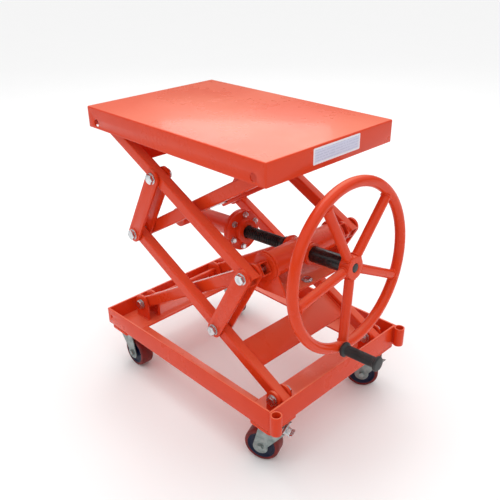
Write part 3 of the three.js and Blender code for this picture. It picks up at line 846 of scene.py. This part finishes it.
def sideMember(side, out):
    node = f"base_side_member_{side}"
    low, high = boxOf(node)
    front, rear = boxOf("base_front_member")[1].x, boxOf("base_rear_member")[0].x
    sheet = baseLook["sheet"]
    clear = baseLook["ends"] + baseLook["seam"]
    face = high.y if out > 0 else low.y
    inner = face - out * sheet
    y0, y1 = sorted((face, inner))
    web = block((low.x, y0, low.z), (high.x, y1, low.z + baseLook["frontWeb"]))
    with editing(web, "FACE"):
        cutAcross((0, 0, low.z + sheet), (0, 0, 1))
        cutAcross((rear + clear, 0, 0), (1, 0, 0))
        cutAcross((front - clear, 0, 0), (1, 0, 0))
        choose(web, "FACE", lambda middle, normal: (
            normal.y * out < -0.9 and middle.z < low.z + sheet and rear + clear < middle.x < front - clear
        ))
        extrudeBy((0, -out * (baseLook["sides"] - sheet), 0))
    outwards(web)
    with editing(web, "VERT"):  # the web is lower at the rear
        choose(web, "VERT", lambda place, normal: place.z > high.z - 1 and place.x < rear + 1)
        bpy.ops.transform.translate(value=(0, 0, baseLook["rearWeb"] - baseLook["frontWeb"]))
    with editing(web, "VERT"):
        fall = (baseLook["frontWeb"] - baseLook["rearWeb"]) / (front - rear)
        rearCut, frontCut = rear + clear, front - clear
        choose(web, "VERT", lambda place, normal: place.z > high.z - 1 and rear + 1 < place.x < rearCut + 1)
        bpy.ops.transform.translate(value=(0, 0, -(front - rearCut) * fall))
    with editing(web, "VERT"):
        choose(web, "VERT", lambda place, normal: place.z > high.z - 1 and abs(place.x - frontCut) < 1)
        bpy.ops.transform.translate(value=(0, 0, -(front - frontCut) * fall))
    foldEdge(web, lambda middle, way: (
        abs(way.x) > 0.9 and abs(middle.y - face) < 0.1 and middle.z < low.z + 0.1
    ))
    x, z = rear + sideHole["fromRear"], low.z + sideHole["height"]
    cutBy(web, [rod(sideHole["radius"], (x, face - 20, z), (x, face + 20, z), 28)])
    bevelled(web, 0.9, 3)
    beads = [
        rod(baseLook["bead"], (x, inner, low.z + sheet), (x, inner, low.z + height - 3), 14)
        for x, height in ((rear + sheet, baseLook["rearWeb"]), (high.x, baseLook["frontWeb"]))
    ]
    standFor(node, joined([web, *beads]), "base_frame", orange)


def handleSocket(side):
    node = f"handle_socket_{side}"
    low, high = boxOf(node)
    middle = (low + high) / 2
    size = socketLook
    bore, radius, height = size["bore"], size["radius"], size["height"]
    tube = turned([(0, bore), (0, radius), (height, radius), (height, bore)], bored=True)
    bevelled(tube, 0.7, 3)
    moved(tube, Matrix.Translation((middle.x, middle.y, low.z)) @ toUpright)
    limit = boxOf("base_side_member_left")[1].y - 1.5  # the beads stay on the front member
    beads = []
    for y in (middle.y - size["beadApart"], middle.y + size["beadApart"]):
        y = max(-limit, min(limit, y))
        beads.append(rod(size["bead"], (low.x + 0.5, y, low.z + 1), (low.x + 0.5, y, high.z - 1), 14))
    standFor(node, joined([tube, *beads]), "base_frame", orange)


frontWeb, rearWeb = baseLook["frontWeb"], baseLook["rearWeb"]
endMember("base_front_member", 1, frontWeb, baseFront, baseEar["front"], "innerStrap", "outerStrap")
endMember("base_rear_member", -1, rearWeb, baseRear, baseEar["rear"], "innerEar", "innerStrap")
for side, out in (("left", 1), ("right", -1)):
    sideMember(side, out)
    handleSocket(side)
print("base ready")

# castors

wheelLook = dict(radius=42, half=18, tread=34, trail=22, axle=5, bore=5.4)
forkLook = dict(crown=97, thick=4, leg=3, gap=20.5, boss=18, front=35, rear=-25)
plateLook = dict(halfX=32.5, halfY=45, low=112.7, high=118.7, corner=9, nutX=23, nutY=35)
atAxle = Matrix.Translation((-wheelLook["trail"], 0, wheelLook["radius"]))
pedalLook = dict(x=30, z=95, barrel=4, bend=42, bendDrop=9, tip=50, tipDrop=7, half=12, thick=3)


def platePiece():
    size = plateLook
    halfX, halfY = size["halfX"], size["halfY"]
    plate = block((-halfX, -halfY, size["low"]), (halfX, halfY, size["high"]))
    with editing(plate, "EDGE"):
        choose(plate, "EDGE", lambda middle, way: abs(way.z) > 0.9)
        bpy.ops.mesh.bevel(offset=size["corner"], segments=6, affect="EDGES")
    pieces = [bevelled(plate, 0.8, 2)]
    crownTop = forkLook["crown"] + forkLook["thick"] + 0.3
    cup = turned([
        (crownTop, 21), (crownTop, 24), (crownTop + 1, 25), (crownTop + 5, 25), (crownTop + 6, 23.5),
        (size["low"] - 2, 22), (size["low"] + 1, 22),
    ])
    pieces.append(bevelled(moved(cup, toUpright), 0.3, 1))
    crown = forkLook["crown"]
    pieces.append(rod(6, (0, 0, crown - 4), (0, 0, crownTop + 1)))
    pieces.append(bevelled(rod(9, (0, 0, crown - 7.5), (0, 0, crown - 1.6), 6), 0.4, 2))
    pieces.append(bevelled(rod(10.2, (0, 0, crown - 1.6), (0, 0, crown - 0.3), 32), 0.3, 2))
    for x in (-1, 1):
        for y in (-1, 1):
            nut = hexHead(11, 5)
            spot = Matrix.Translation((x * size["nutX"], y * size["nutY"], size["low"]))
            pieces.append(moved(nut, spot @ Matrix.Rotation(math.radians(90), 4, "Y")))
    return joined(pieces)


def forkPiece():
    size = forkLook
    outer = size["gap"] + size["leg"]
    crownTop = size["crown"] + size["thick"]
    crown = block((size["rear"] - 3, -outer, size["crown"]), (-size["rear"], outer, crownTop))
    with editing(crown, "EDGE"):
        choose(crown, "EDGE", lambda middle, way: abs(way.x) > 0.9 and middle.z > size["crown"] + 1)
        bpy.ops.mesh.bevel(offset=3, segments=5, affect="EDGES")
    cutBy(crown, [rod(6.4, (0, 0, size["crown"] - 10), (0, 0, size["crown"] + 20), 32)])
    pieces = [bevelled(crown, 0.6, 2)]
    for out in (1, -1):
        y0, y1 = sorted((out * size["gap"], out * outer))
        leg = rod(size["boss"], atAxle @ Vector((0, y0, 0)), atAxle @ Vector((0, y1, 0)), 48)
        middle = (size["front"] + size["rear"]) / 2
        with editing(leg, "VERT"):
            choose(leg, "VERT", lambda place, normal: place.z > wheelLook["radius"] + 6)
            bpy.ops.transform.resize(value=(1, 1, 0), center_override=(0, 0, size["crown"] + 1))
            bpy.ops.transform.translate(value=(wheelLook["trail"] + middle, 0, 0))
            wide = (size["front"] - size["rear"]) / (2 * size["boss"] * 0.88)
            bpy.ops.transform.resize(value=(wide, 1, 1), center_override=(middle, 0, 0))
        pieces.append(bevelled(leg, 0.6, 2))
        axle = joined([bevelled(turned([(0, 9.5), (1.4, 9.5)]), 0.4, 2), hexHead(14, 5.6)])
        pieces.append(moved(axle, atAxle @ Matrix.Translation((0, out * outer, 0)) @ facing(out)))
    ends = (atAxle @ Vector((0, -outer, 0)), atAxle @ Vector((0, outer, 0)))
    pieces.append(rod(wheelLook["axle"], *ends, 32))
    return joined(pieces)


def wheelCorePiece():
    size = wheelLook
    half, bore = size["half"], size["bore"]
    side = [
        (half + 1, bore), (half + 1, 11), (half - 3, 13.5), (half - 3.5, 29), (half - 0.5, 31.5),
        (half - 0.5, size["tread"]),
    ]
    profile = [(-x, radius) for x, radius in side] + side[::-1]
    core = bevelled(turned(profile, bored=True), 0.5, 2)
    return moved(core, atAxle @ toAcross)


def wheelTreadPiece():
    size = wheelLook
    half, outer, inner = size["half"], size["radius"], size["tread"] - 0.2
    side = [
        (half, inner), (half, outer - 4.2), (half - 1.1, outer - 1.9), (half - 3.2, outer - 0.5),
        (half - 6, outer),
    ]
    profile = [(-x, radius) for x, radius in side] + side[::-1]
    tread = turned(profile, vertices=72, bored=True)
    return moved(tread, atAxle @ toAcross)


def pedalPiece():
    size = pedalLook
    low = size["z"] - 1
    plate = block((size["x"], -size["half"], low), (size["tip"], size["half"], low + size["thick"]))
    with editing(plate, "FACE"):
        cutAcross((size["bend"], 0, 0), (1, 0, 0))
    with editing(plate, "VERT"):
        choose(plate, "VERT", lambda place, normal: abs(place.x - size["bend"]) < 0.1)
        bpy.ops.transform.translate(value=(0, 0, -size["bendDrop"]))
    with editing(plate, "VERT"):
        choose(plate, "VERT", lambda place, normal: place.x > size["tip"] - 0.1)
        bpy.ops.transform.translate(value=(0, 0, -size["tipDrop"]))
    with editing(plate, "EDGE"):
        choose(plate, "EDGE", lambda middle, way: middle.x > size["tip"] - 1 and abs(way.z) > 0.9)
        bpy.ops.mesh.bevel(offset=3.5, segments=4, affect="EDGES")
    pieces = [bevelled(plate, 0.5, 2)]
    limit = forkLook["gap"] - 0.3
    barrel = rod(size["barrel"], (size["x"], -limit, size["z"]), (size["x"], limit, size["z"]))
    pieces.append(bevelled(barrel, 0.5, 2))
    end = limit + forkLook["leg"]
    pieces.append(rod(2.1, (size["x"], -end, size["z"]), (size["x"], end, size["z"]), 20))
    for x in (43.5, 45.7, 47.9):  # ribs across the toe
        z = low - 9 + (x - size["bend"]) / (size["tip"] - size["bend"]) * 2 + size["thick"]
        pieces.append(rod(0.7, (x, -8, z), (x, 8, z), 12))
    return joined(pieces)


def addCastors():
    core, tread = ("castor_tyre", wheelCore()), ("castor_tyre", wheelTread())
    masters = {
        "plate": platePiece(), "fork": forkPiece(), "core": wheelCorePiece(),
        "tread": wheelTreadPiece(), "pedal": pedalPiece(),
    }
    for corner in ("front_right", "front_left", "rear_right", "rear_left"):
        swivel = pivotOf(f"castor_swivel_{corner}")
        axis = joints[f"castor_roll_{corner}"]["axis"]
        fixed = Matrix.Translation((swivel.x, swivel.y, 0))
        swivelled = fixed @ Matrix.Rotation(math.atan2(-axis[0], axis[1]), 4, "Z")
        standFor(f"castor_plate_{corner}", copyOf(masters["plate"]), "base_frame", orange, fixed)
        node = f"castor_fork_{corner}"
        standFor(node, copyOf(masters["fork"]), node + "_body", pressedZinc, swivelled)
        node = f"castor_wheel_{corner}"
        finished(copyOf(masters["core"]), node + "_core", node + "_body", core, [node], swivelled)
        finished(copyOf(masters["tread"]), node + "_tread", node + "_body", tread, (), swivelled)
        if corner == "front_right":
            node = f"brake_pedal_{corner}"
            standFor(node, copyOf(masters["pedal"]), node + "_body", zinc, swivelled)
    for master in masters.values():
        bpy.data.objects.remove(master)


addCastors()
print("castors ready")

# cross tube, nut and screw

tubeLook = dict(
    radius=30, wall=4, half=119, boss=25, bossEnd=37, collar=33, collarFrom=114.6, cheekIn=109, cheekOut=114,
)
cradleLook = dict(radius=36, drop=60, rear=-34, front=56, thick=5, boltX=38, boltY=-25)
carrierLook = dict(hub=25, hubHalf=45, tube=24, flangeAt=184, flange=50, thick=10)
nutLook = dict(face=194.3, thick=10, boss=30, bossLength=15, bore=16.25, circle=40, bolts=6, phase=20)
screwLook = dict(
    radius=15, root=12.6, pitch=6, rear=-342, sleeve=18.5,
    shoulder=19.5, shoulderFrom=-49.3, shoulderTo=-37.3,
)
hubLook = dict(back=127, front=153, radius=26, spigot=10)
screwWay = midFront - midRear
atTube = frameAt(midFront, screwWay)
atNut = frameAt(midRear, screwWay)


def addCrossTube():
    size = tubeLook
    half, radius, inside = size["half"], size["radius"], size["radius"] - size["wall"]
    tube = moved(turned([(-half, inside), (-half, radius), (half, radius), (half, inside)], 64), toAcross)
    boss = turned([(-size["bossEnd"], size["boss"]), (size["bossEnd"], size["boss"])], 56)
    combined(tube, boss, "UNION")
    for y in (-130, 85):  # the pin holes in the two ends
        cutBy(tube, [rod(pivotHole, (0, y, 0), (0, y + 45, 0), 32)])
    cutBy(tube, [rod(screwLook["radius"] + 0.4, (-60, 0, 0), (60, 0, 0), 48)])
    bevelled(tube, 0.9, 3)
    pieces = [tube]
    for out in (1, -1):
        start, end, bore, skin = size["collarFrom"], half - 0.4, radius + 0.2, size["collar"]
        collar = turned([(start, bore), (start, skin), (end, skin), (end, bore)], bored=True)
        pieces.append(moved(bevelled(collar, 0.5, 2), facing(out)))
        pieces.append(ring(size["boss"] + 0.6, 1.8, (out * 30.5, 0, 0), segments=(56, 10)))
    standFor("front_cross_tube", joined(pieces), "cross_tube", orange, atTube)


def addCradle():
    size = cradleLook
    middle = (size["front"] + size["rear"]) / 2
    pieces = []
    for out in (1, -1):
        y0, y1 = sorted((out * tubeLook["cheekIn"], out * tubeLook["cheekOut"]))
        cheek = rod(size["radius"], (0, y0, 0), (0, y1, 0), 56)
        with editing(cheek, "VERT"):
            choose(cheek, "VERT", lambda place, normal: place.z < -18)
            bpy.ops.transform.resize(value=(1, 1, 0), center_override=(0, 0, -size["drop"]))
            bpy.ops.transform.translate(value=(middle, 0, 0))
            wide = (size["front"] - size["rear"]) / (2 * size["radius"] * 0.86)
            bpy.ops.transform.resize(value=(wide, 1, 1), center_override=(middle, 0, 0))
        cutBy(cheek, [rod(tubeLook["radius"] + 0.3, (0, -150, 0), (0, 150, 0), 64)])
        pieces.append(bevelled(cheek, 0.7, 2))
    limit = tubeLook["cheekIn"] + 1
    floorTop = -size["drop"] + size["thick"]
    floor = block((size["rear"], -limit, -size["drop"]), (size["front"], limit, floorTop))
    pieces.append(bevelled(floor, 0.8, 2))
    for y in (tubeLook["cheekIn"], -tubeLook["cheekIn"]):
        pieces.append(rod(2.2, (size["rear"] + 2, y, floorTop), (size["front"] - 2, y, floorTop), 14))
    standFor("cross_tube_bracket", joined(pieces), "cross_tube", orange, atTube)
    washer = bevelled(turned([(0, 13), (1.2, 13)]), 0.3, 2)
    head = joined([washer, hexHead(19, 5.6)])
    moved(head, Matrix.Translation((size["boltX"], size["boltY"], floorTop)) @ toUpright)
    finished(head, "cradle_bolt", "cross_tube", zinc, (), atTube)


def addNutCarrier():
    size = carrierLook
    half, radius = size["hubHalf"], size["hub"]
    hub = turned([(-half, pivotHole), (-half, radius), (half, radius), (half, pivotHole)], bored=True)
    pieces = [bevelled(moved(hub, toAcross), 1.0, 3)]
    end = size["flangeAt"] + size["thick"]
    body = turned([
        (size["hub"] - 3, 20), (size["hub"] - 3, size["tube"]), (size["flangeAt"], size["tube"]),
        (size["flangeAt"], size["flange"]), (end, size["flange"]), (end, 20),
    ], 64, bored=True)
    pieces.append(bevelled(body, 0.9, 3))
    pieces.append(ring(size["tube"] + 0.8, 2.2, (size["flangeAt"] - 0.6, 0, 0), segments=(56, 10)))
    standFor("nut_carrier", joined(pieces), "nut_assembly", orange, atNut)


def addNut():
    size = nutLook
    plateEnd = size["face"] + size["thick"]
    bossEnd = plateEnd + size["bossLength"]
    flange = carrierLook["flange"]
    body = turned([
        (size["face"], size["bore"]), (size["face"], flange), (plateEnd, flange),
        (plateEnd, size["boss"]), (bossEnd, size["boss"]), (bossEnd, size["bore"]),
    ], 64, bored=True)
    standFor("screw_nut", bevelled(body, 1.0, 3), "nut_assembly", orange, atNut)
    heads = []
    for i in range(size["bolts"]):
        angle = math.radians(size["phase"] + i * 360 / size["bolts"])
        y, z = size["circle"] * math.cos(angle), size["circle"] * math.sin(angle)
        washer = bevelled(turned([(0, 7.9), (0.9, 7.9)]), 0.25, 2)
        head = joined([washer, hexHead(12.5, 5.8)])
        heads.append(moved(head, Matrix.Translation((plateEnd, y, z)) @ Matrix.Rotation(0.4 * i, 4, "X")))
    finished(joined(heads), "nut_flange_bolts", "nut_assembly", zinc, (), atNut)


def threadPiece(start, end):  # one pitch of the thread's outline, wound along the screw
    size = screwLook
    pitch, root, crest = size["pitch"], size["root"], size["radius"] - 0.1
    bpy.ops.object.select_all(action="DESELECT")
    bpy.ops.mesh.primitive_plane_add(size=1)
    thread = applied()
    outline = [(0, root), (pitch * 0.2, root), (pitch * 0.38, crest), (pitch * 0.82, crest), (pitch, root)]
    with editing(thread, "VERT"):
        bpy.ops.mesh.select_all(action="SELECT")
        bpy.ops.mesh.merge(type="COLLAPSE")
        bpy.ops.transform.translate(value=(start, 0, outline[0][1]))
        for (x, radius), (nextX, nextRadius) in zip(outline, outline[1:]):
            step = (nextX - x, 0, nextRadius - radius)
            bpy.ops.mesh.extrude_vertices_move(TRANSFORM_OT_translate={"value": step})
    activate(thread)
    wind = thread.modifiers.new("wind", "SCREW")
    wind.axis = "X"
    wind.screw_offset = pitch
    wind.iterations = int((end - start) / pitch)
    wind.steps = 28
    wind.render_steps = 28
    wind.use_merge_vertices = True
    bpy.ops.object.modifier_apply(modifier=wind.name)
    return outwards(thread)


def addScrew():
    size = screwLook
    threadEnd = size["shoulderFrom"] - 2
    thread = threadPiece(size["rear"] + 4, threadEnd)
    core = turned([
        (size["rear"], 11), (size["rear"] + 2, 12.8), (threadEnd - 6, 12.8), (threadEnd - 5, size["radius"]),
        (size["shoulderFrom"], size["radius"]), (size["shoulderFrom"], size["shoulder"]),
        (size["shoulderTo"], size["shoulder"]), (size["shoulderTo"], size["radius"]),
        (hubLook["back"] - 0.3, size["radius"]), (hubLook["back"] - 0.3, hubLook["spigot"]),
        (hubLook["front"] - 1.3, hubLook["spigot"]), (hubLook["front"] - 0.3, hubLook["spigot"] - 1),
    ], 48)
    bevelled(core, 0.5, 2)
    standFor("lead_screw", joined([core, thread]), "screw_and_wheel", black, atTube)
    back, front, bore = -size["shoulderTo"], hubLook["back"] - 0.3, size["radius"] + 0.4
    radius = size["sleeve"]
    sleeve = turned([(back, bore), (back, radius), (front, radius), (front, bore)], 56, bored=True)
    cutBy(sleeve, [rod(2.6, (front - 9, 0, 14), (front - 9, 0, 30), 24)])  # the set screw's hole
    standFor("screw_sleeve", bevelled(sleeve, 0.9, 3), "screw_and_wheel", black, atTube)


addCrossTube()
addCradle()
addNutCarrier()
addNut()
addScrew()
print("cross tube, nut and screw ready")

# handwheel and grip

wheelRim = dict(centre=140, radius=185, tube=12.3, spoke=11, spokes=5, phase=-99, bead=1.8)
gripLook = dict(
    phase=-103, radius=12, flange=17, flangeThick=8, length=92, standOff=14, spindle=7, ridge=2.6,
    grooveDepth=0.7,
)


def aroundWheel(radius, degrees, x=0.0):
    angle = math.radians(degrees)
    return Vector((x, radius * math.cos(angle), radius * math.sin(angle)))


def addHandwheel():
    size = wheelRim
    centre = size["centre"]
    pieces = [ring(size["radius"], size["tube"], (centre, 0, 0), segments=(128, 24))]
    hub = turned([
        (hubLook["back"], hubLook["spigot"] + 0.4), (hubLook["back"], hubLook["radius"]),
        (hubLook["front"], hubLook["radius"]), (hubLook["front"], hubLook["spigot"] + 0.4),
    ], 64, bored=True)
    pieces.append(bevelled(hub, 1.6, 4))
    for i in range(size["spokes"]):
        angle = size["phase"] + i * 360 / size["spokes"]
        inner = aroundWheel(hubLook["radius"] - 5, angle, centre)
        outer = aroundWheel(size["radius"] - 6, angle, centre)
        pieces.append(rod(size["spoke"], inner, outer, 36))
        way = outer - inner
        for radius in (hubLook["radius"] + 0.4, size["radius"] - size["tube"] + 0.6):
            spot = aroundWheel(radius, angle, centre)
            pieces.append(ring(size["spoke"] + 0.5, size["bead"], spot, way, (36, 10)))
    start = aroundWheel(size["radius"], gripLook["phase"], centre)
    tip = start + Vector((gripLook["standOff"] + gripLook["length"] - gripLook["flangeThick"], 0, 0))
    pieces.append(bevelled(rod(gripLook["spindle"], start, tip, 36), 0.8, 2))
    neck = start + Vector((wheelRim["tube"] - 0.5, 0, 0))
    pieces.append(ring(gripLook["spindle"] + 0.8, 1.6, neck, segments=(36, 10)))
    standFor("handwheel", joined(pieces), "screw_and_wheel", orange, atTube)


def addGrip():
    size = gripLook
    length, thick, radius, flange = size["length"], size["flangeThick"], size["radius"], size["flange"]
    bore = size["spindle"] + 0.4
    groove = radius - size["grooveDepth"]
    profile = [
        (length - thick, bore), (0, bore), (0, flange - 1.5), (1.5, flange),
        (thick - 2, flange), (thick, flange - 2.2), (thick + 2, radius),
    ]
    x = thick + 4
    while x + size["ridge"] < length - thick - 3:  # one groove to each ridge
        profile += [(x, radius), (x + 0.4, groove), (x + 0.9, groove), (x + 1.3, radius)]
        x += size["ridge"]
    profile += [
        (length - thick - 2, radius), (length - thick, flange - 2.2), (length - thick + 2, flange),
        (length - 2.5, flange), (length - 0.6, flange - 2), (length, flange - 5),
    ]
    grip = turned(profile, 56)
    spot = aroundWheel(wheelRim["radius"], size["phase"], wheelRim["centre"] + size["standOff"])
    moved(grip, Matrix.Translation(spot))
    standFor("crank_grip", grip, "grip", rubber, atTube)


addHandwheel()
addGrip()
bpy.data.objects.remove(boltMaster)
print("handwheel and grip ready")
